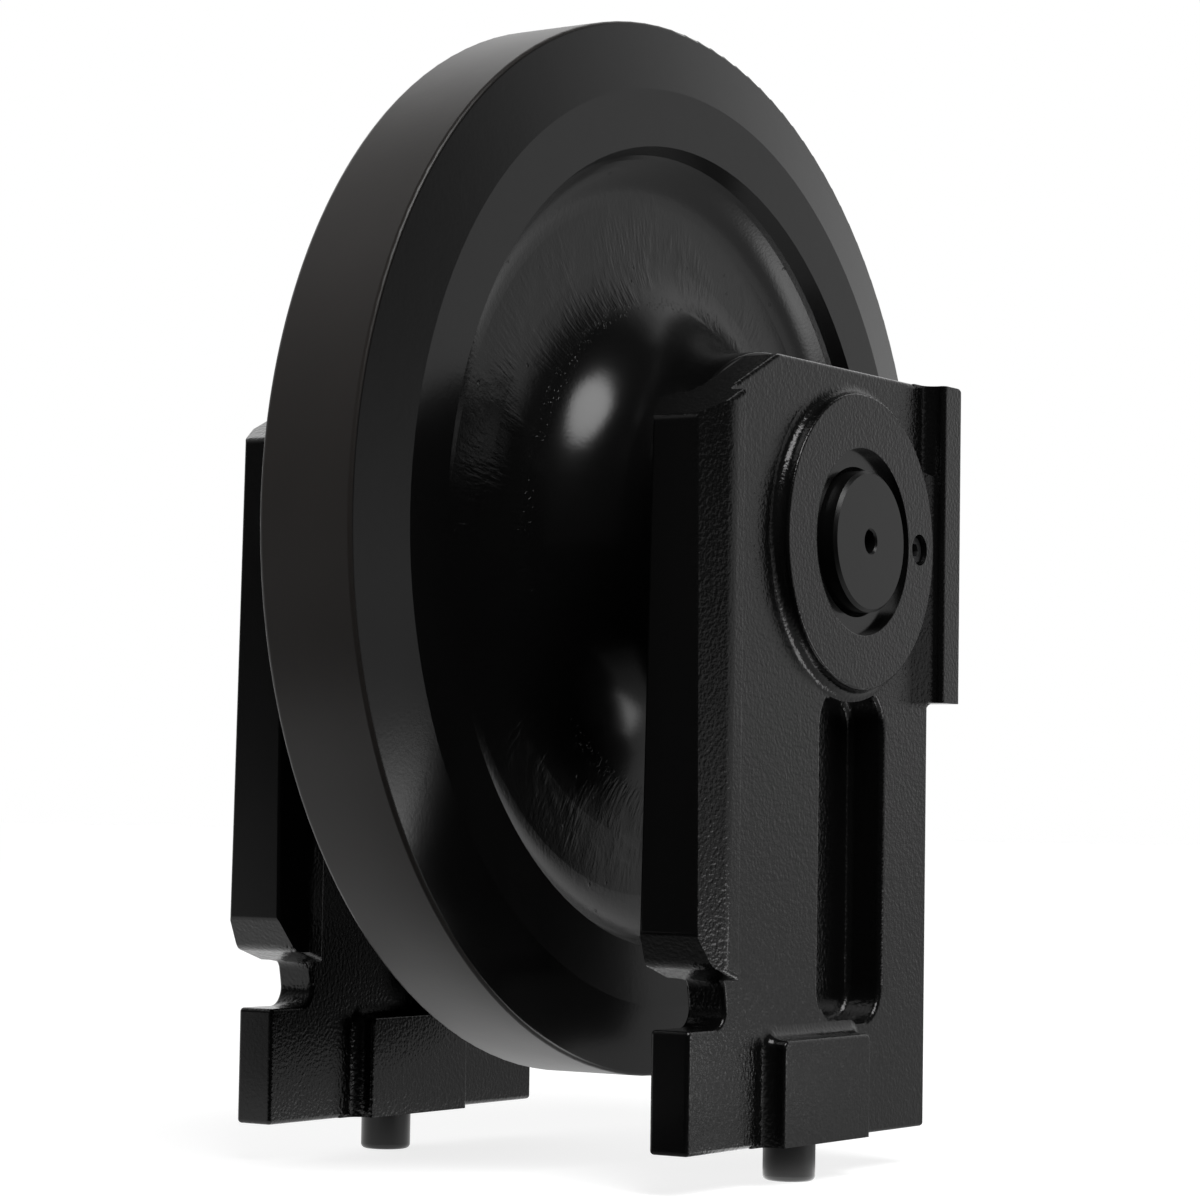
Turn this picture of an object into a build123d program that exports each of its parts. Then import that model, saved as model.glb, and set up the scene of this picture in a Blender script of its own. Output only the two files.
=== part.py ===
from build123d import *
import math
import os

os.makedirs("parts", exist_ok=True)

# Front idler of a small crawler excavator, in millimetres.
# The origin is the wheel's centre. +X runs along the axle, +Y towards the back guides
# and +Z up. Pieces on the +X side are "right"; each has a mirrored twin on the left.

# Wheel rim, web and hub: radii from the axle, half widths from the wheel's mid-plane
tread_r = 210.0
tread_half = 20.5
tread_edge_round = 1.8
ring_outer_r = 182.7
ring_inner_r = 160.0
rim_half = 26.4
lip_width = 3.0
lip_depth = 6.0
dish_wall_angle = 45.0
dish_round = 22.0
web_outer_half = 12.0
web_inner_half = 15.0
hub_r = 76.0
hub_half = 68.0
hub_root_round = 42.0
hub_edge_round = 1.2
oil_chamber_depth = 13.5
oil_chamber_half = 24.0

# Axle
shaft_r = 27.5
shaft_proud = 3.2
shaft_chamfer = 1.25
centre_hole_r = 4.45
centre_hole_depth = 14.0
centre_hole_chamfer = 0.7
gallery_r = 3.2
cross_drill_r = 2.5
drill_overrun = 5.0
bracket_bore_clearance = 0.05

# Bushes, with a flange that takes the side load
bush_wall = 5.0
bush_clearance = 0.06
bush_flange_width = 5.5
bush_flange_thick = 4.0
thrust_gap = 0.1

# Face seals: two metal rings that meet between hub and bracket, each on a rubber ring
housing_gap = 2.0
cavity_depth = 9.0
cavity_draft = 1.8
nose_inset = 0.5
seal_bore_gap = 1.5
seal_face_width = 8.0
seal_face_gap = 0.1
seal_lip_thick = 2.6
seal_ramp_step = 3.0
seal_ramp_fall = 1.8
seal_length = 7.4
toric_room = 3.0
toric_squeeze = 0.35

# O-ring between axle and bracket
oring_inset = 3.0
groove_width = 4.4
groove_depth = 2.4
oring_section_r = 1.55

# Bracket plate, seen from the side
plate_thick = 16.5
plate_front_y = -115.4
plate_foot_y = -113.3
plate_back_y = 65.3
plate_top_z = 67.4
plate_bottom_z = -229.0
plate_edge_round = 1.6
shoulder_top_y = -55.2
shoulder_end_z = 38.3
shoulder_round = 7.0

# Bracket bosses
boss_r = 57.5
boss_height = 6.1
boss_foot_round = 4.5
boss_edge_round = 1.0
counterbore_r = 36.3
counterbore_depth = 3.7
bore_chamfer = 1.65
inner_boss_wall = 10.0
inner_boss_height = 17.0
inner_boss_round = 2.0

# Blind pocket in the outer face, and the casting that closes it on the inner side
pocket_front_y = -20.5
pocket_back_y = 28.2
pocket_top_z = -57.4
pocket_bottom_z = -186.4
pocket_corner_round = 15.0
pocket_depth = 15.5
pocket_wall = 8.0
pocket_floor_round = 3.0
pocket_mouth_round = 2.2

# Notch in the front edge; its top slopes forwards and up to a blunt lip
notch_end_y = -86.9
notch_end_lean = 3.1
notch_top_z = -167.0
notch_height = 17.2
notch_top_round = 5.0
notch_bottom_round = 7.0
lip_length = 17.5
lip_slope_rise = 5.5
lip_front_rise = 12.0
lip_round = 8.0

# Guide rails and pad, all of one width across the plate
guide_half = 16.3
front_rail_y = -92.0
front_rail_flat = 8.5
front_rail_round = 12.0
front_face_half_low = 12.3
front_face_half_top = 9.0
rail_edge_round = 1.2
rail_corner_round = 3.0
rail_end_round = 2.0
rail_foot_round = 3.0
back_rail_front_y = 62.0
back_rail_back_y = 77.5
back_rail_bottom_z = -60.3
back_rail_round = 2.0
back_rail_top_round = 4.5
back_rail_foot_round = 5.5
back_rail_heel_round = 6.0
web_front_y = 48.0
web_height = 4.3
web_round = 12.0
web_foot_round = 2.0
web_top_front_z = 34.0
web_top_back_z = 29.5
pad_front_y = -58.5
pad_back_y = 6.5
pad_top_z = -189.5
pad_round = 3.0
pad_foot_round = 5.0

# Lock of the axle: a cross dowel held down by a socket screw
lock_pin_r = 5.0
lock_pin_reach = 10.0
lock_pin_length = 39.5
lock_clearance = 0.05
lock_screw_r = 6.15
lock_screw_y = 45.5
lock_screw_inset = 2.3
lock_screw_socket = 5.0
lock_screw_socket_depth = 4.0
lock_screw_chamfer = 0.8

# Oil plug in the right end of the axle
oil_plug_length = 8.0
oil_plug_socket = 4.0
oil_plug_socket_depth = 4.0

# Locating pins under the brackets
pin_head_r = 10.0
pin_head_length = 15.0
pin_head_round = 2.0
pin_shank_r = 8.0
pin_shank_length = 30.0
pin_y = -27.0

# Places along the axle, from the wheel's mid-plane outwards
cavity_floor_x = hub_half - cavity_depth
flange_face_x = cavity_floor_x + bush_flange_thick
nose_end_x = flange_face_x + thrust_gap
seal_plane_x = hub_half + housing_gap / 2
boss_inner_x = hub_half + housing_gap
housing_floor_x = boss_inner_x + cavity_depth
plate_inner_x = boss_inner_x + inner_boss_height
plate_mid_x = plate_inner_x + plate_thick / 2
plate_outer_x = plate_inner_x + plate_thick
guide_inner_x = plate_mid_x - guide_half
guide_outer_x = plate_mid_x + guide_half
boss_outer_x = plate_outer_x + boss_height
counterbore_floor_x = boss_outer_x - counterbore_depth
shaft_end_x = boss_outer_x + shaft_proud
oring_x = plate_inner_x - oring_inset

# Corners of the notch and the lip over it
notch_bottom_z = notch_top_z - notch_height
notch_top_y = notch_end_y - notch_end_lean
lip_y = notch_top_y - lip_length
lip_z = notch_top_z + lip_slope_rise
lip_front_z = lip_z + lip_front_rise

# Radii that follow from the fits
bush_outer_r = shaft_r + bush_wall
flange_r = bush_outer_r + bush_flange_width
nose_r = flange_r - nose_inset
seal_inner_r = nose_r + seal_bore_gap
seal_outer_r = seal_inner_r + seal_face_width
cavity_mouth_r = seal_outer_r + toric_room
cavity_floor_r = cavity_mouth_r - cavity_draft
inner_boss_r = cavity_mouth_r + inner_boss_wall
bracket_bore_r = shaft_r + bracket_bore_clearance
seal_ramp_r = seal_outer_r - seal_ramp_step


def outline(corners):
    """Flat face through (x, y, corner radius) corners."""
    points = [(x, y) for x, y, _ in corners]
    radii = [radius for _, _, radius in corners]
    return make_face(FilletPolyline(*points, radius=radii, close=True))


def turned(corners):
    """Body of revolution about the axle, from (x, radius, corner radius) corners."""
    return revolve(outline(corners), Axis.X, 360)


def drill_x(radius, start_x, end_x, y=0.0, z=0.0):
    """Cylinder along X."""
    length = end_x - start_x
    return Pos((start_x + end_x) / 2, y, z) * Rot(0, 90, 0) * Cylinder(radius, length)


def drill_y(radius, start_y, end_y, x):
    """Cylinder along Y, level with the axle."""
    length = end_y - start_y
    return Pos(x, (start_y + end_y) / 2, 0) * Rot(90, 0, 0) * Cylinder(radius, length)


def hexagon_x(across_flats, start_x, end_x, y=0.0):
    """Hexagonal prism along X, for a socket."""
    face = Plane.YZ.offset(start_x) * Pos(y, 0) * RegularPolygon(across_flats / 2, 6, major_radius=False)
    return extrude(face, end_x - start_x)


def side_profile(corners, start_x, end_x):
    """Plate whose outline is given by (y, z, corner radius), from one X to another."""
    return extrude(Plane.YZ.offset(start_x) * outline(corners), end_x - start_x)


def flat_edges(plate):
    """Edges that bound a plate's two flat faces."""
    return plate.faces().filter_by(Axis.X).edges()


def mirrored(corners):
    """Add the mirror image of half a wheel profile, in reverse order."""
    return corners + [(-x, r, radius) for x, r, radius in reversed(corners)]


def idler_wheel():
    """One casting: tread, sloping flanks, machined rings, dished web, hub and seal seats."""
    lip_x = rim_half - lip_depth
    lip_r = ring_inner_r - lip_width
    dish_r = lip_r - (lip_x - web_outer_half) / math.tan(math.radians(dish_wall_angle))
    half = [
        (oil_chamber_half, bush_outer_r + oil_chamber_depth, 0),
        (oil_chamber_half, bush_outer_r, 0),
        (cavity_floor_x, bush_outer_r, 0),
        (cavity_floor_x, cavity_floor_r, 0),
        (hub_half, cavity_mouth_r, 0),
        (hub_half, hub_r, hub_edge_round),
        (web_inner_half, hub_r, hub_root_round),
        (web_outer_half, dish_r, dish_round),
        (lip_x, lip_r, 0),
        (rim_half, ring_inner_r, 0),
        (rim_half, ring_outer_r, 0),
        (tread_half, tread_r, tread_edge_round),
    ]
    return turned(mirrored(half))


def bush():
    """Flanged bush pressed into the hub."""
    bore_r = shaft_r + bush_clearance
    return turned([
        (oil_chamber_half, bore_r, 0),
        (flange_face_x, bore_r, 0),
        (flange_face_x, flange_r, 0),
        (cavity_floor_x, flange_r, 0),
        (cavity_floor_x, bush_outer_r, 0),
        (oil_chamber_half, bush_outer_r, 0),
    ])


def seal_ring(side):
    """Metal seal ring; side is -1 in the hub and +1 in the bracket."""
    face_x = seal_plane_x + side * seal_face_gap / 2
    lip_x = seal_plane_x + side * seal_lip_thick
    back_x = seal_plane_x + side * seal_length
    return turned([
        (face_x, seal_inner_r, 0),
        (face_x, seal_outer_r, 0),
        (lip_x, seal_outer_r, 0),
        (lip_x, seal_ramp_r, 0),
        (back_x, seal_ramp_r - seal_ramp_fall, 0),
        (back_x, seal_inner_r, 0),
    ])


def seal_toric(side):
    """Rubber ring squeezed between the metal ring's ramp and the wall of its housing."""
    ramp_slope = seal_ramp_fall / (seal_length - seal_lip_thick)
    wall_slope = cavity_draft / cavity_depth
    floor_s = housing_gap / 2 + cavity_depth
    floor_ramp_r = seal_ramp_r - ramp_slope * (floor_s - seal_lip_thick)
    lip_wall_r = cavity_mouth_r - wall_slope * (seal_lip_thick - housing_gap / 2)
    middle_s = (seal_lip_thick + floor_s) / 2 - seal_face_gap
    middle_ramp_r = seal_ramp_r - ramp_slope * (middle_s - seal_lip_thick)
    middle_wall_r = cavity_mouth_r - wall_slope * (middle_s - housing_gap / 2)
    room = outline([
        (seal_plane_x + side * seal_lip_thick, seal_ramp_r, 0),
        (seal_plane_x + side * floor_s, floor_ramp_r, 0),
        (seal_plane_x + side * floor_s, cavity_floor_r, 0),
        (seal_plane_x + side * seal_lip_thick, lip_wall_r, 0),
    ])
    section_r = (middle_wall_r - middle_ramp_r) / 2 + toric_squeeze
    middle = Pos(seal_plane_x + side * middle_s, (middle_ramp_r + middle_wall_r) / 2)
    return revolve(middle * Circle(section_r) & room, Axis.X, 360)


def groove_corners():
    """Section of the O-ring groove, up to the wall of the bracket's bore."""
    half_width = groove_width / 2
    bottom_r = shaft_r - groove_depth
    return [
        (oring_x - half_width, bottom_r, 0),
        (oring_x + half_width, bottom_r, 0),
        (oring_x + half_width, bracket_bore_r, 0),
        (oring_x - half_width, bracket_bore_r, 0),
    ]


def shaft_oring():
    """O-ring squeezed between the groove and the bracket's bore."""
    middle_r = (shaft_r - groove_depth + bracket_bore_r) / 2
    section = Pos(oring_x, middle_r) * Circle(oring_section_r)
    return revolve(section & outline(groove_corners()), Axis.X, 360)


def centre_hole():
    """Hole in the axle's end, with a small chamfer and a drill point."""
    bottom_x = shaft_end_x - centre_hole_depth
    point_x = bottom_x - centre_hole_r / math.sqrt(3)
    return turned([
        (point_x, 0, 0),
        (bottom_x, centre_hole_r, 0),
        (shaft_end_x - centre_hole_chamfer, centre_hole_r, 0),
        (shaft_end_x, centre_hole_r + centre_hole_chamfer, 0),
        (shaft_end_x, 0, 0),
    ])


def shaft():
    """Fixed axle with O-ring grooves, dowel holes and an oil gallery from its right end."""
    chamfer_x = shaft_end_x - shaft_chamfer
    bar = turned([
        (-shaft_end_x, 0, 0),
        (-shaft_end_x, shaft_r - shaft_chamfer, 0),
        (-chamfer_x, shaft_r, 0),
        (chamfer_x, shaft_r, 0),
        (shaft_end_x, shaft_r - shaft_chamfer, 0),
        (shaft_end_x, 0, 0),
    ])
    groove = turned(groove_corners())
    hole = centre_hole()
    end_y = shaft_r + drill_overrun
    dowel_hole = drill_y(lock_pin_r + lock_clearance, shaft_r - lock_pin_reach, end_y, plate_mid_x)
    for cut in (groove, hole, dowel_hole):
        bar = bar - cut - mirror(cut, about=Plane.YZ)
    plug_floor_x = shaft_end_x - centre_hole_depth - oil_plug_length
    bar = bar - drill_x(centre_hole_r, plug_floor_x, shaft_end_x)
    bar = bar - drill_x(gallery_r, 0, shaft_end_x)
    return bar - Cylinder(cross_drill_r, 2 * end_y)


def oil_plug():
    """Socket plug that closes the oil gallery behind the centre hole."""
    outer_x = shaft_end_x - centre_hole_depth
    plug = drill_x(centre_hole_r, outer_x - oil_plug_length, outer_x)
    return plug - hexagon_x(oil_plug_socket, outer_x - oil_plug_socket_depth, outer_x)


def bracket_side():
    """Outline of the plate: foot, back edge, top, shoulder, front rail face and notch."""
    return [
        (plate_foot_y, plate_bottom_z, plate_edge_round),
        (plate_back_y, plate_bottom_z, plate_edge_round),
        (plate_back_y, plate_top_z, plate_edge_round),
        (shoulder_top_y, plate_top_z, shoulder_round),
        (plate_front_y, shoulder_end_z, rail_corner_round),
        (plate_front_y, lip_front_z, rail_corner_round),
        (lip_y, lip_z, lip_round),
        (notch_top_y, notch_top_z, notch_top_round),
        (notch_end_y, notch_bottom_z, notch_bottom_round),
        (plate_foot_y, notch_bottom_z, plate_edge_round),
    ]


def pocket_side(wall):
    """Outline of the pocket, grown all round by a wall."""
    corner_round = pocket_corner_round + wall
    return [
        (pocket_front_y - wall, pocket_bottom_z - wall, corner_round),
        (pocket_back_y + wall, pocket_bottom_z - wall, corner_round),
        (pocket_back_y + wall, pocket_top_z + wall, corner_round),
        (pocket_front_y - wall, pocket_top_z + wall, corner_round),
    ]


def bracket_plate():
    """Plate cut out for the pocket, its edges softened as cast."""
    plate = side_profile(bracket_side(), plate_inner_x, plate_outer_x)
    plate = fillet(flat_edges(plate), plate_edge_round)
    plate = plate - side_profile(pocket_side(0), plate_inner_x, plate_outer_x)
    outer_face = plate.faces().sort_by(Axis.X)[-1]
    return fillet(outer_face.inner_wires()[0].edges(), pocket_mouth_round)


def pocket_back():
    """Raised casting on the inner face, behind the pocket."""
    back = side_profile(pocket_side(pocket_wall), guide_inner_x, plate_mid_x)
    return fillet(back.faces().sort_by(Axis.X)[0].edges(), pad_round)


def pocket_room():
    """Room of the pocket, with a rounded floor corner."""
    room = side_profile(pocket_side(0), plate_outer_x - pocket_depth, plate_outer_x)
    return fillet(room.faces().sort_by(Axis.X)[0].edges(), pocket_floor_round)


def across_plate(corners, z):
    """Level section from one half's (x from the plate's middle, y, corner radius) corners."""
    other_half = [(-x, y, radius) for x, y, radius in reversed(corners)]
    return Pos(plate_mid_x, 0, z) * outline(corners + other_half)


def front_rail_section(face_half, z):
    """Section of the front rail at one height; its narrow face looks forwards."""
    return across_plate([
        (face_half, plate_front_y, rail_edge_round),
        (guide_half, front_rail_y - front_rail_flat, front_rail_round),
        (guide_half, front_rail_y, rail_edge_round),
        (plate_thick / 2, front_rail_y, rail_foot_round),
        (plate_thick / 2, front_rail_y + 2 * rail_foot_round, 0),
    ], z)


def front_rail():
    """Guide rail along the front edge; its ends follow the plate and are rounded off."""
    low = front_rail_section(front_face_half_low, notch_top_z)
    high = front_rail_section(front_face_half_top, plate_top_z)
    ends = side_profile([
        (shoulder_top_y, plate_top_z, 0),
        (plate_front_y, shoulder_end_z, rail_corner_round),
        (plate_front_y, lip_front_z, rail_corner_round),
        (lip_y, lip_z, lip_round),
        (notch_top_y, notch_top_z, 0),
    ], guide_inner_x, guide_outer_x)
    return loft([low, high], ruled=True) & fillet(flat_edges(ends), rail_end_round)


def back_rail():
    """Guide rail along the upper back edge, run into the plate by fillets."""
    root_y = back_rail_front_y - 2 * back_rail_foot_round
    section = across_plate([
        (plate_thick / 2, root_y, 0),
        (plate_thick / 2, back_rail_front_y, back_rail_foot_round),
        (guide_half, back_rail_front_y, back_rail_round),
        (guide_half, back_rail_back_y, back_rail_round),
    ], back_rail_bottom_z)
    rail = extrude(section, plate_top_z - back_rail_bottom_z)
    side = side_profile([
        (root_y, back_rail_bottom_z, 0),
        (back_rail_back_y, back_rail_bottom_z, back_rail_round),
        (back_rail_back_y, plate_top_z, back_rail_top_round),
        (root_y, plate_top_z, 0),
    ], guide_inner_x, guide_outer_x)
    return rail & side


def back_rail_heel():
    """Fillet between the plate's back edge and the rail's lower end."""
    low_z = back_rail_bottom_z - 2 * back_rail_heel_round
    end_y = back_rail_back_y - back_rail_round
    return side_profile([
        (back_rail_front_y, low_z, 0),
        (plate_back_y, low_z, 0),
        (plate_back_y, back_rail_bottom_z, back_rail_heel_round),
        (end_y, back_rail_bottom_z, 0),
        (end_y, back_rail_bottom_z + back_rail_round, 0),
        (back_rail_front_y, back_rail_bottom_z + back_rail_round, 0),
    ], plate_inner_x + plate_edge_round, plate_outer_x - plate_edge_round)


def back_web():
    """Web that rises from the plate to the back rail beside the boss."""
    start_y = web_front_y - web_round
    top_x = guide_outer_x - back_rail_round
    section = outline([
        (plate_mid_x, start_y, 0),
        (plate_outer_x, start_y, 0),
        (plate_outer_x, web_front_y, web_round),
        (plate_outer_x + web_height, back_rail_front_y, web_foot_round),
        (top_x, back_rail_front_y, 0),
        (top_x, plate_back_y, 0),
        (plate_mid_x, plate_back_y, 0),
    ])
    web = Pos(0, 0, back_rail_bottom_z) * extrude(section, plate_top_z - back_rail_bottom_z)
    side = side_profile([
        (start_y, back_rail_bottom_z, 0),
        (plate_back_y, back_rail_bottom_z, 0),
        (plate_back_y, web_top_back_z, 0),
        (web_front_y, web_top_front_z, 0),
        (start_y, web_top_front_z, 0),
    ], plate_mid_x, top_x)
    return web & side


def bracket_pad():
    """Thick pad at the foot that carries the locating pin, run into the plate by a fillet."""
    low_z = plate_bottom_z - pad_foot_round
    pad = side_profile([
        (pad_front_y, low_z, 0),
        (pad_back_y, low_z, 0),
        (pad_back_y, pad_top_z, pad_round),
        (pad_front_y, pad_top_z, pad_round),
    ], guide_inner_x, guide_outer_x)
    pad = fillet(flat_edges(pad), rail_edge_round)
    skirt_width = 2 * pad_foot_round
    skirt = side_profile([
        (pad_front_y - skirt_width, low_z, 0),
        (pad_back_y + skirt_width, low_z, 0),
        (pad_back_y + skirt_width, pad_top_z + skirt_width, 0),
        (pad_front_y - skirt_width, pad_top_z + skirt_width, 0),
    ], plate_inner_x, plate_outer_x)
    joined = pad + skirt
    joined = fillet(new_edges(pad, skirt, combined=joined), pad_foot_round)
    return split(joined, Plane.XY.offset(plate_bottom_z), keep=Keep.TOP)


def outer_boss():
    """Round boss on the outer face."""
    foot_r = boss_r + boss_foot_round + boss_edge_round
    return turned([
        (plate_mid_x, bracket_bore_r, 0),
        (boss_outer_x, bracket_bore_r, 0),
        (boss_outer_x, boss_r, boss_edge_round),
        (plate_outer_x, boss_r, boss_foot_round),
        (plate_outer_x, foot_r, 0),
        (plate_mid_x, foot_r, 0),
    ])


def inner_boss():
    """Seal housing on the inner face, with the nose that takes the bush's side load."""
    foot_r = inner_boss_r + boss_foot_round + boss_edge_round
    return turned([
        (plate_mid_x, bracket_bore_r, 0),
        (nose_end_x, bracket_bore_r, 0),
        (nose_end_x, nose_r, 0),
        (boss_inner_x, nose_r, 0),
        (boss_inner_x, inner_boss_r, inner_boss_round),
        (plate_inner_x, inner_boss_r, boss_foot_round),
        (plate_inner_x, foot_r, 0),
        (plate_mid_x, foot_r, 0),
    ])


def bracket_holes():
    """Everything that is drilled or bored in the bracket."""
    bore = drill_x(bracket_bore_r, nose_end_x, boss_outer_x)
    recess = turned([
        (counterbore_floor_x - bore_chamfer, 0, 0),
        (counterbore_floor_x - bore_chamfer, bracket_bore_r, 0),
        (counterbore_floor_x, bracket_bore_r + bore_chamfer, 0),
        (counterbore_floor_x, counterbore_r, 0),
        (boss_outer_x, counterbore_r, 0),
        (boss_outer_x, 0, 0),
    ])
    seal_room = turned([
        (boss_inner_x, nose_r, 0),
        (housing_floor_x, nose_r, 0),
        (housing_floor_x, cavity_floor_r, 0),
        (boss_inner_x, cavity_mouth_r, 0),
    ])
    dowel_hole = drill_y(lock_pin_r + lock_clearance, 0, back_rail_back_y, plate_mid_x)
    screw_hole = drill_x(lock_screw_r + lock_clearance, plate_mid_x, boss_outer_x, lock_screw_y)
    pin_hole = Pos(plate_mid_x, pin_y, plate_bottom_z + pin_shank_length / 2) * Cylinder(
        pin_shank_r, pin_shank_length
    )
    return bore + recess + seal_room + dowel_hole + screw_hole + pin_hole


def bracket():
    """Right bracket: plate, rails, pad and bosses in one casting."""
    body = bracket_plate() + front_rail() + back_rail() + back_rail_heel() + back_web()
    body = body + bracket_pad() + pocket_back() + outer_boss() + inner_boss()
    return body - pocket_room() - bracket_holes()


def lock_pin():
    """Dowel that keys the axle in the bracket."""
    start_y = shaft_r - lock_pin_reach
    return drill_y(lock_pin_r, start_y, start_y + lock_pin_length, plate_mid_x)


def lock_screw():
    """Socket screw that holds the dowel down."""
    outer_x = boss_outer_x - lock_screw_inset
    inner_x = plate_mid_x + lock_pin_r
    screw = drill_x(lock_screw_r, inner_x, outer_x, lock_screw_y)
    screw = chamfer(screw.edges(), lock_screw_chamfer)
    return screw - hexagon_x(lock_screw_socket, outer_x - lock_screw_socket_depth, outer_x, lock_screw_y)


def mounting_pin():
    """Stepped locating pin: shank pressed into the pad, head standing out below it."""
    axis = Axis((plate_mid_x, pin_y, 0), (0, 0, 1))
    corners = [
        (0, plate_bottom_z + pin_shank_length, 0),
        (0, plate_bottom_z - pin_head_length, 0),
        (pin_head_r, plate_bottom_z - pin_head_length, pin_head_round),
        (pin_head_r, plate_bottom_z, 0),
        (pin_shank_r, plate_bottom_z, 0),
        (pin_shank_r, plate_bottom_z + pin_shank_length, 0),
    ]
    face = Plane.XZ.offset(-pin_y) * Pos(plate_mid_x, 0) * outline(corners)
    return revolve(face, axis, 360)


def write(node, shape):
    """Write one piece to its own file."""
    export_step(shape, f"parts/{node}.step")


def write_pair(node, shape):
    """Write a right-hand piece and its mirror image."""
    write(f"{node}_right", shape)
    write(f"{node}_left", mirror(shape, about=Plane.YZ))


write("idler_wheel", idler_wheel())
write("shaft", shaft())
write("oil_plug", oil_plug())
write_pair("bracket", bracket())
write_pair("bush", bush())
write_pair("rotating_seal_ring", seal_ring(-1))
write_pair("fixed_seal_ring", seal_ring(1))
write_pair("rotating_seal_toric", seal_toric(-1))
write_pair("fixed_seal_toric", seal_toric(1))
write_pair("shaft_oring", shaft_oring())
write_pair("lock_pin", lock_pin())
write_pair("lock_screw", lock_screw())
write_pair("mounting_pin", mounting_pin())
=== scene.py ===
# %% [markdown]
# # Front idler of a small excavator
#
# The idler is a heavy dished wheel on a fixed axle, held between two cast brackets that slide in
# the track frame. Every piece keeps its exact shape from the CAD model. This lesson gives each one
# its finish, then sets up a plain studio and the camera.
#
# The model is loaded first. Its box is kept, because the finished model must not outgrow it.

# %% Load the frame
import math

import bpy
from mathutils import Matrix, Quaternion, Vector


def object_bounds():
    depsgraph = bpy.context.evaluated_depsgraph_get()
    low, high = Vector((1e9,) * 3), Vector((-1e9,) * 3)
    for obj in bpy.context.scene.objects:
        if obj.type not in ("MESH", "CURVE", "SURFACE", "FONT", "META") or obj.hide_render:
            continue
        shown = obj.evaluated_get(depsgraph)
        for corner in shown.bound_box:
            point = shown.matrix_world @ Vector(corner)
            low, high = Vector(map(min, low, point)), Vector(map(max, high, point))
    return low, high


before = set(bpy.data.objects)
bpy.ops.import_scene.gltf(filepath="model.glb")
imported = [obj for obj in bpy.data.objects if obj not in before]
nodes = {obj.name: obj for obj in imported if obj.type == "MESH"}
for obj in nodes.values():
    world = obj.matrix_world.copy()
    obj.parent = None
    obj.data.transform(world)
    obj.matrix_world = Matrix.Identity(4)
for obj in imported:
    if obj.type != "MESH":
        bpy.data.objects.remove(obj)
cad_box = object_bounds()
print(len(nodes), "pieces between", cad_box[0], "and", cad_box[1])


# %% [markdown]
# ## A short way to write shader maths
#
# A finish is a small sum over the surface: some grain, plus some streaks, times a mask. Wiring
# each Math node by hand hides that sum. So one class wraps a socket, and its operators add the
# Math nodes. `1 - mask` works too, because the reflected forms are there.

# %% A socket that can be added and multiplied
class Amount:
    """A number that varies over a surface."""

    def __init__(self, tree, socket):
        self.tree = tree
        self.socket = socket

    def math(self, operation, first, second):
        node = self.tree.nodes.new("ShaderNodeMath")
        node.operation = operation
        for place, value in enumerate((first, second)):
            if isinstance(value, Amount):
                self.tree.links.new(value.socket, node.inputs[place])
            else:
                node.inputs[place].default_value = value
        return Amount(self.tree, node.outputs[0])

    def __add__(self, other):
        return self.math("ADD", self, other)

    def __radd__(self, other):
        return self.math("ADD", other, self)

    def __sub__(self, other):
        return self.math("SUBTRACT", self, other)

    def __rsub__(self, other):
        return self.math("SUBTRACT", other, self)

    def __mul__(self, other):
        return self.math("MULTIPLY", self, other)

    def __rmul__(self, other):
        return self.math("MULTIPLY", other, self)

    def __truediv__(self, other):
        return self.math("DIVIDE", self, other)

    def __pow__(self, other):
        return self.math("POWER", self, other)

    def at_least(self, other):
        return self.math("MAXIMUM", self, other)


print("amounts can be added, subtracted, multiplied and divided")


# %% [markdown]
# Every other node comes from one method. It takes the node's type, its settings, which have to be
# set before its sockets exist, and the values or links of its sockets.

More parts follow.
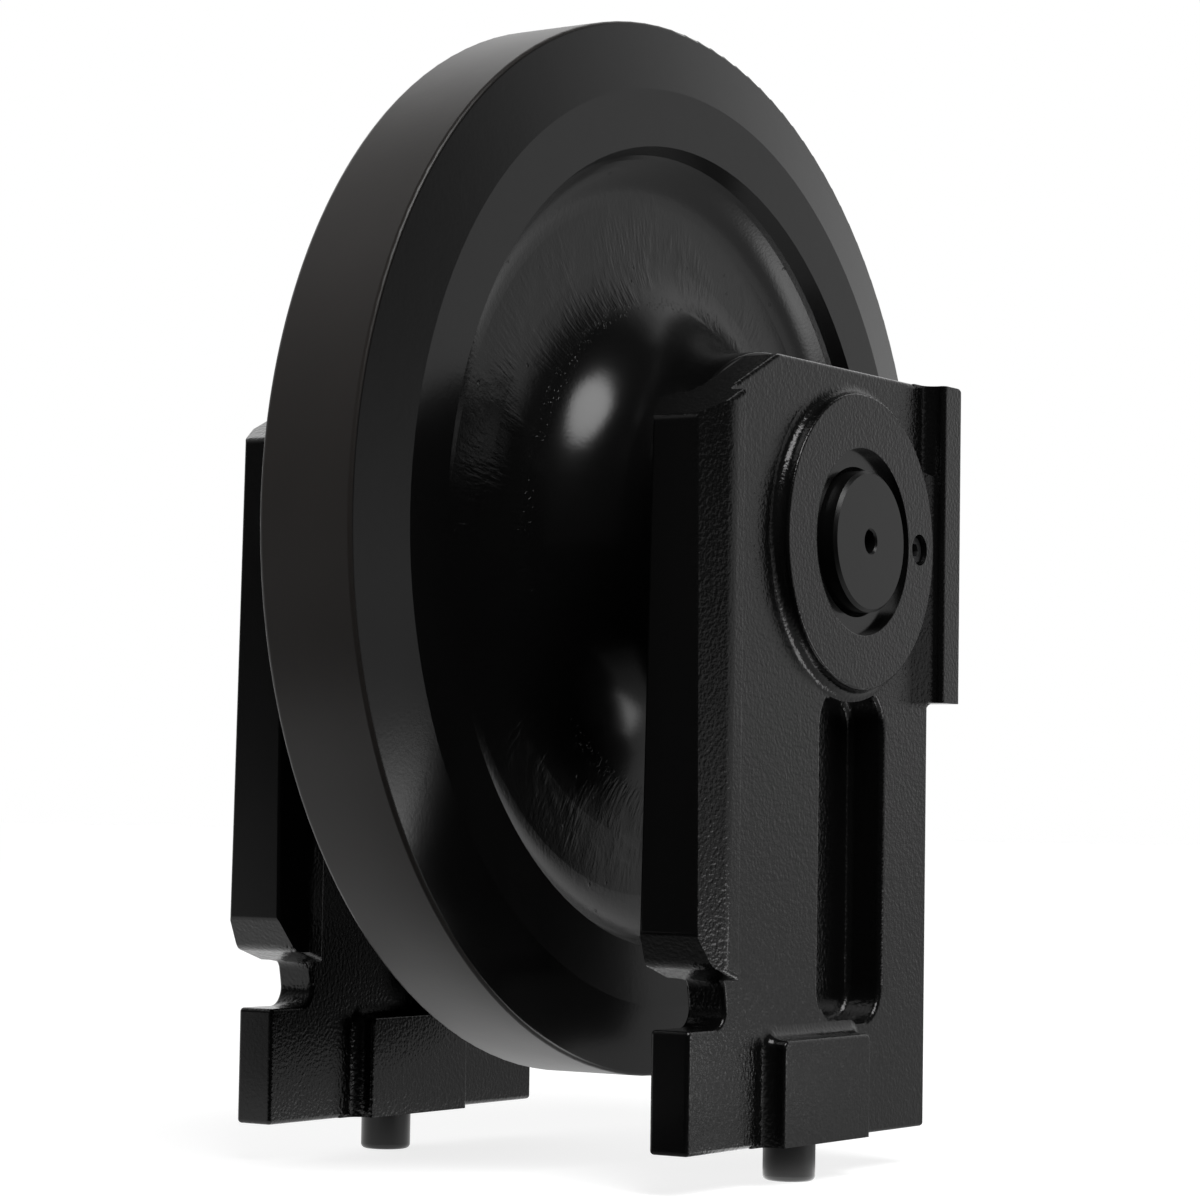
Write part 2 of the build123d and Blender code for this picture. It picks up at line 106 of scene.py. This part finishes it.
# %% A shader under construction
class Shader:
    """The nodes of one material, or of the world."""

    def __init__(self, tree):
        self.tree = tree
        tree.nodes.clear()

    def add(self, kind, settings=None, inputs=None, output=0):
        node = self.tree.nodes.new(kind)
        for name, value in (settings or {}).items():
            setattr(node, name, value)
        for name, value in (inputs or {}).items():
            if isinstance(value, Amount):
                self.tree.links.new(value.socket, node.inputs[name])
            else:
                node.inputs[name].default_value = value
        return Amount(self.tree, node.outputs[output]) if node.outputs else None

    def split(self, vector):
        node = self.tree.nodes.new("ShaderNodeSeparateXYZ")
        self.tree.links.new(vector.socket, node.inputs[0])
        return [Amount(self.tree, socket) for socket in node.outputs]

    def join(self, x, y, z):
        return self.add("ShaderNodeCombineXYZ", {}, {"X": x, "Y": y, "Z": z})

    def toward(self, vector, aim):
        """1 where the vector points along aim, falling to 0 at a right angle."""
        inputs = {0: vector, 1: Vector(aim).normalized()}
        dot = self.add("ShaderNodeVectorMath", {"operation": "DOT_PRODUCT"}, inputs, output="Value")
        return dot.at_least(0.0)

    def ramp(self, value, low, high):
        """0 where value is low, 1 where it is high, and a soft step between."""
        inputs = {"Value": value, "From Min": low, "From Max": high}
        return self.add("ShaderNodeMapRange", {"interpolation_type": "SMOOTHSTEP"}, inputs)

    def noise(self, place, scale, detail, roughness):
        inputs = {"Vector": place, "Scale": scale, "Detail": detail, "Roughness": roughness}
        return self.add("ShaderNodeTexNoise", {}, inputs)

    def tint(self, factor, plain, toned):
        """Colour that goes from plain to toned as the factor goes from 0 to 1."""
        node = self.tree.nodes.new("ShaderNodeMix")
        node.data_type = "RGBA"
        colours = [socket for socket in node.inputs if socket.type == "RGBA"]
        factors = [socket for socket in node.inputs if socket.name == "Factor" and socket.enabled]
        self.tree.links.new(factor.socket, factors[0])
        for socket, value in zip(colours, (plain, toned)):
            if isinstance(value, Amount):
                self.tree.links.new(value.socket, socket)
            else:
                socket.default_value = (*value, 1.0)
        results = [socket for socket in node.outputs if socket.type == "RGBA"]
        return Amount(self.tree, results[0])

    def bump(self, height, depth):
        """Normal of a surface raised by height, where 1 stands depth metres proud."""
        return self.add("ShaderNodeBump", {}, {"Height": height, "Distance": depth, "Strength": 1.0})


print("any other node comes from Shader.add")


# %% [markdown]
# ## Where a point of the surface lies
#
# The pieces are made in one frame, with the axle along X and its middle at the origin, so a
# point's own coordinates say which surface it is on. Three numbers do most of the work: the
# distance along the axle, the distance from the axle, and the angle round it.

# %% Coordinates on the real object
class Finish(Shader):
    """A painted or bare metal finish, with coordinates measured on the object."""

    def __init__(self, name):
        self.material = bpy.data.materials.new(name)
        self.material.use_nodes = True
        super().__init__(self.material.node_tree)
        self.place = self.add("ShaderNodeTexCoord", output="Object")
        self.x, self.y, self.z = self.split(self.place)
        self.radius = (self.y * self.y + self.z * self.z) ** 0.5

    def facing(self):
        """Components of the surface's own normal."""
        return self.split(self.add("ShaderNodeNewGeometry", output="Normal"))

    def angle(self):
        return self.y.math("ARCTAN2", self.z, self.y)

    def paint(self, colour, roughness, normal, metallic=0.0):
        """Close the finish with one principled shader."""
        inputs = {"Base Color": colour, "Roughness": roughness, "Normal": normal, "Metallic": metallic}
        shader = self.add("ShaderNodeBsdfPrincipled", {}, inputs)
        self.add("ShaderNodeOutputMaterial", {}, {"Surface": shader})
        return self.material


def dress(material, *names):
    """Give a material to CAD pieces, by name."""
    for name in names:
        for slot in nodes[name].material_slots:
            slot.material = material
    print(material.name, "on", ", ".join(names))


def both(name):
    """The right and left pieces of a pair."""
    return [name + "_right", name + "_left"]


print("a pair is named like", both("bracket"))


# %% [markdown]
# ## The wheel
#
# The wheel is one casting, turned where it runs and painted gloss black. Its tread is a little
# browner and duller, and the rim and the hub are smooth. Between them the dish is left as cast:
# fine broken wrinkles run outwards in patches and fade, and small specks follow the edge where the
# turning of the hub stopped. The colours are very dark, because gloss black paint shows almost
# only its reflections.

# %% Colours and skin of the paint
black = (0.0020, 0.0020, 0.0020)
tread_brown = (0.0150, 0.0131, 0.0120)
dust_grey = (0.0050, 0.0050, 0.0050)
gloss = 0.17
grain_scale = 700.0
skin_depth = 0.00020
print("paint", black, "with a grain", round(1000 / grain_scale, 1), "mm wide")

# %% [markdown]
# The wheel could be cut into faces with a material each, but its zones run into one another. So it
# has one finish, and masks by radius tell the zones apart. Each pair of numbers is where a soft
# step starts and where it ends, in metres from the axle.
#
# A noise's scale counts its features per metre, and a noise has no direction of its own. So the
# wrinkles are noise at a place made of angle, radius and depth, each with its own scale: narrow
# round the wheel and long outwards.

# %% Wheel paint
tread_from = (0.2085, 0.2095)
cast_from = (0.097, 0.100)
cast_to = (0.1535, 0.1575)
wrinkles_to = (0.118, 0.150)
wrinkle_scales = (75.0, 130.0, 40.0)
specks_from = (0.094, 0.097)
specks_to = (0.099, 0.102)


def wheel_paint():
    finish = Finish("wheel_paint")
    tread = finish.ramp(finish.radius, *tread_from)
    cast = finish.ramp(finish.radius, *cast_from) * (1 - finish.ramp(finish.radius, *cast_to))
    mottle = finish.noise(finish.place, 34.0, 5.0, 0.62)
    grain = finish.noise(finish.place, grain_scale, 1.0, 0.5)

    patches = finish.ramp(finish.noise(finish.place, 45.0, 2.0, 0.6), 0.38, 0.58)
    wrinkled = cast * patches * (1 - finish.ramp(finish.radius, *wrinkles_to))
    turn, out, along = wrinkle_scales
    ray_place = finish.join(finish.angle() * turn, finish.radius * out, finish.x * along)
    rays = finish.noise(ray_place, 1.0, 1.0, 0.5)

    cells = finish.add("ShaderNodeTexVoronoi", {}, {"Vector": finish.place, "Scale": 95.0})
    pits = 1 - finish.ramp(cells, 0.03, 0.10)
    hem = finish.ramp(finish.radius, *specks_from) * (1 - finish.ramp(finish.radius, *specks_to))
    specks = finish.ramp(finish.noise(finish.place, 560.0, 1.0, 0.5), 0.60, 0.68) * hem

    colour = finish.tint(tread, black, tread_brown)
    colour = finish.tint(mottle * 0.35, colour, dust_grey)
    skin = grain * (cast * 0.2 + 0.08) + mottle * 0.3
    height = rays * wrinkled * 1.2 + skin - pits * cast * 0.6 + specks * 0.35
    roughness = gloss + tread * 0.17 + cast * 0.05 + mottle * 0.04
    return finish.paint(colour, roughness, finish.bump(height, skin_depth))


dress(wheel_paint(), "idler_wheel")


# %% [markdown]
# ## The brackets
#
# The brackets are sand castings under the same paint. Their skin has a fine leathery grain, and
# the sloping ends of the front rail are rougher. The front guide face and the recess round the
# axle are machined, so there the grain stops. The front face is found by its place and by the way
# it looks, and the recess by its radius.

# %% Bracket paint
front_face_from = (0.1125, 0.1135)
faces_front = (0.90, 0.97)
recess_to = (0.0363, 0.0366)
rail_from = (0.045, 0.060)
slopes = (0.02, 0.20)


def bracket_paint():
    finish = Finish("bracket_paint")
    _, facing_y, facing_z = finish.facing()
    forward = -1 * finish.y
    front_face = finish.ramp(forward, *front_face_from) * finish.ramp(-1 * facing_y, *faces_front)
    recess = 1 - finish.ramp(finish.radius, *recess_to)
    machined = front_face.at_least(recess)
    slanted = finish.ramp(facing_z * facing_z, *slopes) * finish.ramp(forward, *rail_from)
    grain = finish.noise(finish.place, grain_scale, 1.0, 0.5)
    coarse = finish.noise(finish.place, 300.0, 1.0, 0.5)
    mottle = finish.noise(finish.place, 22.0, 5.0, 0.6)
    colour = finish.tint(mottle * 0.3, black, dust_grey)
    height = (grain + coarse * slanted * 0.5) * (1 - machined)
    roughness = gloss + mottle * 0.04 - machined * 0.02
    return finish.paint(colour, roughness, finish.bump(height, skin_depth))


dress(bracket_paint(), *both("bracket"))


# %% [markdown]
# ## Turned pieces
#
# The axle's end and the pins under the brackets come off a lathe. Under the paint the tool's mark
# is left, so the axle's bump is a fine pattern of rings about its axis, and the pins' bump is a
# fine pattern of rings along their height.

# %% Axle paint
def axle_paint():
    finish = Finish("axle_paint")
    rings = finish.noise(finish.join(finish.radius * 900.0, 0.0, finish.x * 900.0), 1.0, 2.0, 0.5)
    cloud = finish.noise(finish.place, 60.0, 3.0, 0.5)
    colour = finish.tint(cloud * 0.25, black, dust_grey)
    return finish.paint(colour, 0.29 + cloud * 0.06, finish.bump(rings, 0.00001))


dress(axle_paint(), "shaft")


# %% Pin paint
def pin_paint():
    finish = Finish("pin_paint")
    rings = finish.noise(finish.z * 1500.0, 1.0, 2.0, 0.5)
    cloud = finish.noise(finish.place, 90.0, 3.0, 0.5)
    colour = finish.tint(cloud * 0.3, black, dust_grey)
    return finish.paint(colour, 0.28 + cloud * 0.08, finish.bump(rings, 0.00001))


dress(pin_paint(), *both("mounting_pin"))


# %% [markdown]
# ## Fasteners and the pieces inside
#
# The screws, dowels and the oil plug are blackened steel. The seals and bushes sit inside the
# hub, where the photo can't show them, and they get the finish that such pieces have when new.

# %% Blackened steel
def fastener_steel():
    finish = Finish("fastener_steel")
    cloud = finish.noise(finish.place, 240.0, 3.0, 0.6)
    colour = finish.tint(cloud, (0.02, 0.02, 0.021), (0.05, 0.05, 0.052))
    return finish.paint(colour, 0.38 + cloud * 0.12, finish.bump(cloud, 0.00004), metallic=0.6)


dress(fastener_steel(), *both("lock_screw"), *both("lock_pin"), "oil_plug")


# %% Lapped seal rings
def seal_steel():
    finish = Finish("seal_steel")
    rings = finish.noise(finish.radius * 4000.0, 1.0, 2.0, 0.5)
    colour = finish.tint(rings, (0.42, 0.42, 0.43), (0.55, 0.55, 0.55))
    return finish.paint(colour, 0.22 + rings * 0.1, finish.bump(rings, 0.000004), metallic=1.0)


dress(seal_steel(), *both("rotating_seal_ring"), *both("fixed_seal_ring"))


# %% Bronze bushes
def bush_bronze():
    finish = Finish("bush_bronze")
    turning = finish.noise(finish.x * 3000.0, 1.0, 2.0, 0.5)
    cloud = finish.noise(finish.place, 70.0, 4.0, 0.6)
    colour = finish.tint(cloud, (0.45, 0.27, 0.12), (0.58, 0.39, 0.2))
    return finish.paint(colour, 0.3 + cloud * 0.12, finish.bump(turning, 0.000006), metallic=1.0)


dress(bush_bronze(), *both("bush"))


# %% Rubber rings
def rubber():
    finish = Finish("rubber")
    skin = finish.noise(finish.place, 800.0, 3.0, 0.6)
    colour = finish.tint(skin, (0.012, 0.012, 0.012), (0.022, 0.022, 0.022))
    return finish.paint(colour, 0.55 + skin * 0.15, finish.bump(skin, 0.00004))


dress(rubber(), *both("rotating_seal_toric"), *both("fixed_seal_toric"), *both("shaft_oring"))


# %% [markdown]
# ## The floor
#
# The idler stands on a plain pale floor. For the camera the floor also gives off a little light of
# its own, which lifts it to the white of the background and leaves only a soft shadow.
#
# Gloss black paint mirrors the floor too, and in the photo that mirrored floor isn't white: it is
# grey behind and to the left, dark in front, and bright in a patch to the right of the idler. So a
# ray that comes from a glossy surface meets a light pattern of its own, made of three parts. All
# are measured on the floor, in metres.

# %% Painted grey reflection behind and to the left
# Painted light: the floor glows at these levels only for rays from glossy surfaces, so they paint a
# grey reflection on the idler.
back_shine = 0.35
back_from = (-0.23, 0.0)
left_shine = 0.65
left_near = (0.15, 0.50)
left_far = (0.56, 0.72)
near_to = (0.40, 0.65)


def painted_grey_reflection(finish):
    """A painted reflection, seen only by glossy rays: even grey at y above 0 and to the left, dark in
    front; left_near and left_far are shares of a full left.
    """
    distance = (finish.x * finish.x + finish.y * finish.y) ** 0.5
    leftward = -1 * finish.x / distance.at_least(0.001)
    behind = finish.ramp(finish.y, *back_from)
    near = 1 - finish.ramp(distance, *near_to)
    close_left = finish.ramp(leftward, *left_near) * behind.at_least(near)
    left = close_left.at_least(finish.ramp(leftward, *left_far))
    return behind * back_shine + left * left_shine


print("mirrored floor is", back_shine, "behind and", left_shine, "at the left")

# %% Painted pool of light
# Painted light: this glowing patch is no lamp, and only glossy rays see it.
pool_light = 3.1
pool_turn = math.radians(28)
pool_from = (0.39, 0.47)
pool_to = (0.40, 1.5)
pool_middle = -0.05
pool_half_width_squared = (0.008, 0.034)


def painted_light_pool(finish):
    """A painted pool of light, seen only in reflections: a long patch to the right of the idler,
    running away from it.
    """
    along = finish.x * math.cos(pool_turn) + finish.y * math.sin(pool_turn)
    across = finish.y * math.cos(pool_turn) - finish.x * math.sin(pool_turn) - pool_middle
    length = finish.ramp(along, *pool_from) * (1 - finish.ramp(along, *pool_to))
    width = 1 - finish.ramp(across * across, *pool_half_width_squared)
    return length * width * pool_light


print("pool of", pool_light, "turned by", round(math.degrees(pool_turn)), "degrees")

# %% Painted spot of light
# Painted light: this glowing patch is no lamp, and only glossy rays see it.
spot_light = 2.0
spot_place = (0.10, -0.02)
spot_to = (0.03, 0.06)


def painted_light_spot(finish):
    """A painted spot of light under the right bracket, seen only in reflections, which paints a
    highlight on the hub.
    """
    spot_x = finish.x - spot_place[0]
    spot_y = finish.y - spot_place[1]
    distance = (spot_x * spot_x + spot_y * spot_y) ** 0.5
    return (1 - finish.ramp(distance, *spot_to)) * spot_light


print("spot of", spot_light, "at", spot_place)

# %% Floor
floor_size = 40.0
floor_grey = 0.36
floor_glow = 0.80


def pale_floor():
    finish = Finish("pale_floor")
    camera_ray = finish.add("ShaderNodeLightPath", output="Is Camera Ray")
    through_ray = finish.add("ShaderNodeLightPath", output="Is Transmission Ray")
    glossy_ray = finish.add("ShaderNodeLightPath", output="Is Glossy Ray")
    grey = (floor_grey, floor_grey, floor_grey, 1.0)
    diffuse = finish.add("ShaderNodeBsdfDiffuse", {}, {"Color": grey})
    seen = (camera_ray + through_ray) * floor_glow
    glow = finish.add("ShaderNodeEmission", {}, {"Strength": seen})
    pale = finish.add("ShaderNodeAddShader", {}, {0: diffuse, 1: glow})
    # Painted reflection: glossy rays see this glowing pattern instead of the pale floor, while the
    # camera sees the plain floor.
    painted_reflection_level = painted_grey_reflection(finish) + painted_light_pool(finish) + painted_light_spot(finish)
    mirrored = finish.add("ShaderNodeEmission", {}, {"Color": painted_reflection_level, "Strength": 1.0})
    surface = finish.add("ShaderNodeMixShader", {}, {0: glossy_ray, 1: pale, 2: mirrored})
    finish.add("ShaderNodeOutputMaterial", {}, {"Surface": surface})
    return finish.material


floor_mesh = bpy.data.meshes.new("floor")
half = floor_size / 2
floor_z = cad_box[0][2]
corners = [(x, y, floor_z) for x, y in ((-half, -half), (half, -half), (half, half), (-half, half))]
floor_mesh.from_pydata(corners, [], [(0, 1, 2, 3)])
floor = bpy.data.objects.new("floor", floor_mesh)
bpy.context.scene.collection.objects.link(floor)
floor_mesh.materials.append(pale_floor())
print("floor at", round(floor_z, 4), "m")


# %% [markdown]
# ## The studio
#
# Black gloss is mostly what it reflects. In the photo the faces towards the camera's left are
# nearly black, the faces to its right are lit evenly, the top of the wheel's rim is pale and the
# hub has a small round highlight. So the studio is a dark tent with three lights in it: a pale
# wall behind the idler with a slanting right end, a soft sky high at the left, and a round lamp
# high at the right. Each is worked out from the direction of a ray alone, so a pair of numbers
# here is a soft step in that direction's own components. The camera itself sees plain white.

# %% Wall behind
wall_light = 0.46
wall_slant = (0.87, 0.50, 1.03)
wall_edge = (-0.45, 0.03)
wall_end = (0.17, 0.31)
wall_top = (0.42, 0.85)
wall_middle = (0.84, 0.98)
wall_lift = 0.35


def back_wall(shader, way):
    x, y, z = shader.split(way)
    level = ((x * x + y * y) ** 0.5).at_least(0.001)
    backward, rightward, upward = wall_slant
    slant = (y * backward - x * rightward) / level - z * upward
    wall = shader.ramp(slant, *wall_edge) * shader.ramp(y / level, *wall_end)
    middle = 1 + shader.ramp(y / level, *wall_middle) * wall_lift
    return wall * (1 - shader.ramp(z, *wall_top)) * middle * wall_light


print("wall of", wall_light, "behind the idler")

# %% Sky at the left
sky_light = 0.95
sky_way = (-0.66, 0.38, 0.64)
sky_spread = 2.5
sky_side = (-0.25, 0.25)
sky_top = (0.72, 0.88)


def left_sky(shader, way):
    x, _, z = shader.split(way)
    sky = shader.toward(way, sky_way) ** sky_spread * shader.ramp(-1 * x, *sky_side)
    return sky * (1 - shader.ramp(z, *sky_top)) * sky_light


print("sky of", sky_light, "towards", sky_way)

# %% Round lamp
lamp_light = 5.4
lamp_way = (0.512, -0.207, 0.834)
lamp_edge = (0.945, 0.975)


def round_lamp(shader, way):
    return shader.ramp(shader.toward(way, lamp_way), *lamp_edge) * lamp_light


print("lamp of", lamp_light, "towards", lamp_way)

# %% Tent
tent_dark = 0.02


def studio_world():
    world = bpy.data.worlds.new("studio")
    bpy.context.scene.world = world
    world.use_nodes = True
    shader = Shader(world.node_tree)
    way = shader.add("ShaderNodeTexCoord", output="Generated")
    tent = tent_dark + left_sky(shader, way) + back_wall(shader, way) + round_lamp(shader, way)
    camera_ray = shader.add("ShaderNodeLightPath", output="Is Camera Ray")
    through_ray = shader.add("ShaderNodeLightPath", output="Is Transmission Ray")
    plain = camera_ray + through_ray
    strength = plain + (1 - plain) * tent
    white = (1.0, 1.0, 1.0, 1.0)
    background = shader.add("ShaderNodeBackground", {}, {"Color": white, "Strength": strength})
    shader.add("ShaderNodeOutputWorld", {}, {"Surface": background})
    print("world made:", world.name)


studio_world()


# %% [markdown]
# Two broad lamps shine only as plain light: a key above at the right and a low fill at the left.
# They lift the paint's own colour without adding a second reflection.

# %% Key and fill
def soft_lamp(name, place, aim, size, power):
    lamp = bpy.data.lights.new(name, "AREA")
    lamp.size = size
    lamp.energy = power
    item = bpy.data.objects.new(name, lamp)
    bpy.context.scene.collection.objects.link(item)
    item.location = place
    item.rotation_euler = (Vector(aim) - Vector(place)).to_track_quat("-Z", "Y").to_euler()
    item.visible_glossy = False
    item.visible_camera = False
    print(name, "at", place, "with", power, "W")


soft_lamp("key", (1.3, -0.9, 1.7), (0, 0, 0), 1.5, 40.0)
soft_lamp("fill", (-1.5, -1.9, 0.2), (0, 0, 0), 2.0, 35.0)


# %% [markdown]
# ## The camera
#
# The camera's place was found by fitting the wheel's circles and the brackets' edges in the photo.
# It looks slightly upwards from below the axle, with a long lens and a roll of under a degree.

# %% Camera
camera_place = Vector((0.78069, -1.20193, -0.10704))
camera_aim = Vector((-0.00923, -0.00462, -0.02044))
camera_roll = 0.89
camera_lens = 106.71

camera_data = bpy.data.cameras.new("camera")
camera_data.lens = camera_lens
camera_data.sensor_width = 36.0
camera_data.clip_end = 100.0
camera = bpy.data.objects.new("camera", camera_data)
bpy.context.scene.collection.objects.link(camera)
camera.location = camera_place
look = (camera_aim - camera_place).to_track_quat("-Z", "Y")
camera.rotation_euler = (look @ Quaternion((0, 0, 1), math.radians(camera_roll))).to_euler()
bpy.context.scene.camera = camera
bpy.context.scene.view_settings.view_transform = "Standard"
print("camera at", tuple(camera_place), "lens", camera_lens, "mm")
